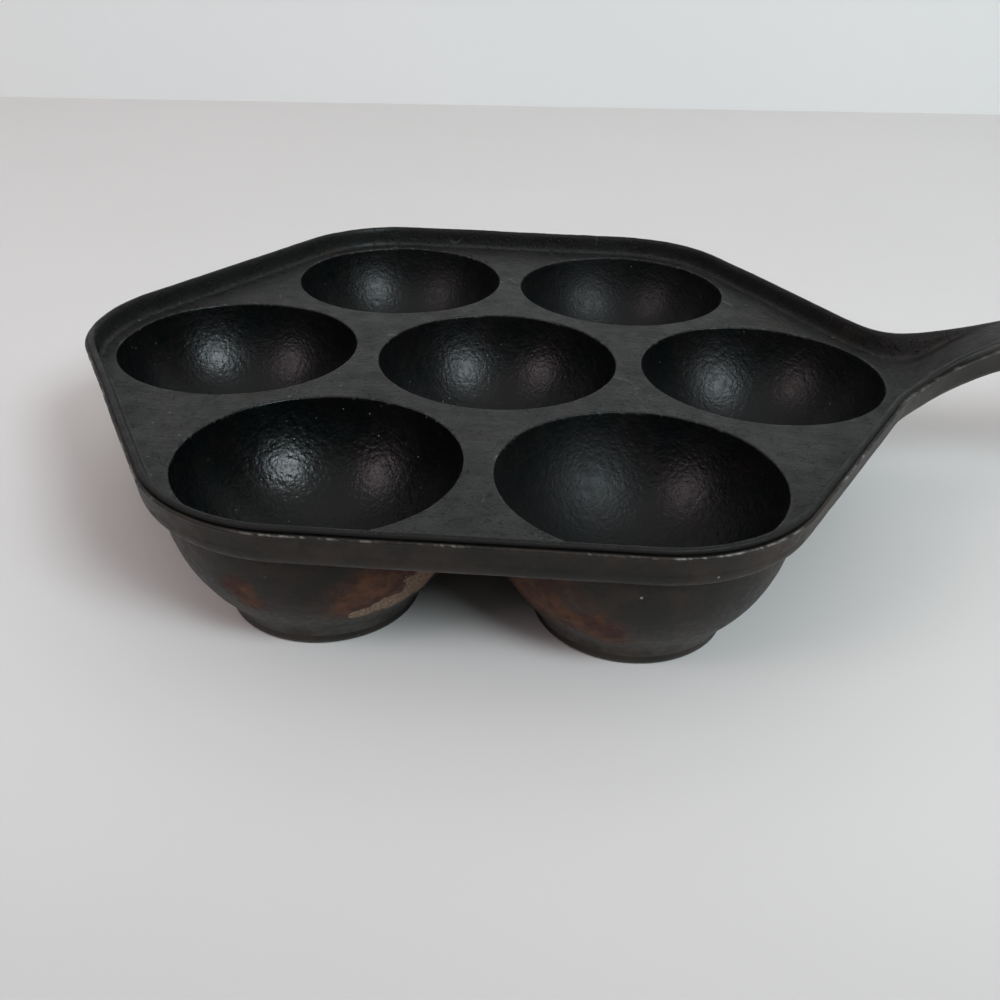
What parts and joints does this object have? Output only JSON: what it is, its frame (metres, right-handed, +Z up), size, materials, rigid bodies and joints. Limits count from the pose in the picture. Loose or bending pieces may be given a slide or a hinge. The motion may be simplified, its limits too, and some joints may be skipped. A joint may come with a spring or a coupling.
{
  "type": "aebleskiver pan",
  "caption": "Cast iron pan with a hexagonal rimmed deck, hemispherical cups on flat feet below it, and a rising handle with a hanging hole.",
  "frame": {"origin": "middle of the centre cup's foot, on the surface that the pan stands on", "axes": "+X from the centre cup along the handle, +Z up, +Y to the left of someone looking along the handle"},
  "size_m": [0.3435, 0.18, 0.0648],
  "materials": {
    "deck_iron": "dry dark grey seasoning, faintly streaked and pitted",
    "cup_iron": "near-black oily seasoning over pebbly cast skin",
    "outer_iron": "brown-grey fired iron with thin rust",
    "handle_iron": "handled brown-grey iron"
  },
  "bodies": {
    "root": {"deck_plate": "deck_iron", "rim": "outer_iron", "handle_root": "handle_iron", "handle_grip": "handle_iron", "handle_eye": "handle_iron", "cup_centre": "cup_iron", "cup_right": "cup_iron", "cup_back_right": "cup_iron", "cup_back_left": "cup_iron", "cup_left": "cup_iron", "cup_front_left": "cup_iron", "cup_front_right": "cup_iron", "foot_centre": "outer_iron", "foot_right": "outer_iron", "foot_back_right": "outer_iron", "foot_back_left": "outer_iron", "foot_left": "outer_iron", "foot_front_left": "outer_iron", "foot_front_right": "outer_iron"}
  },
  "joints": []
}
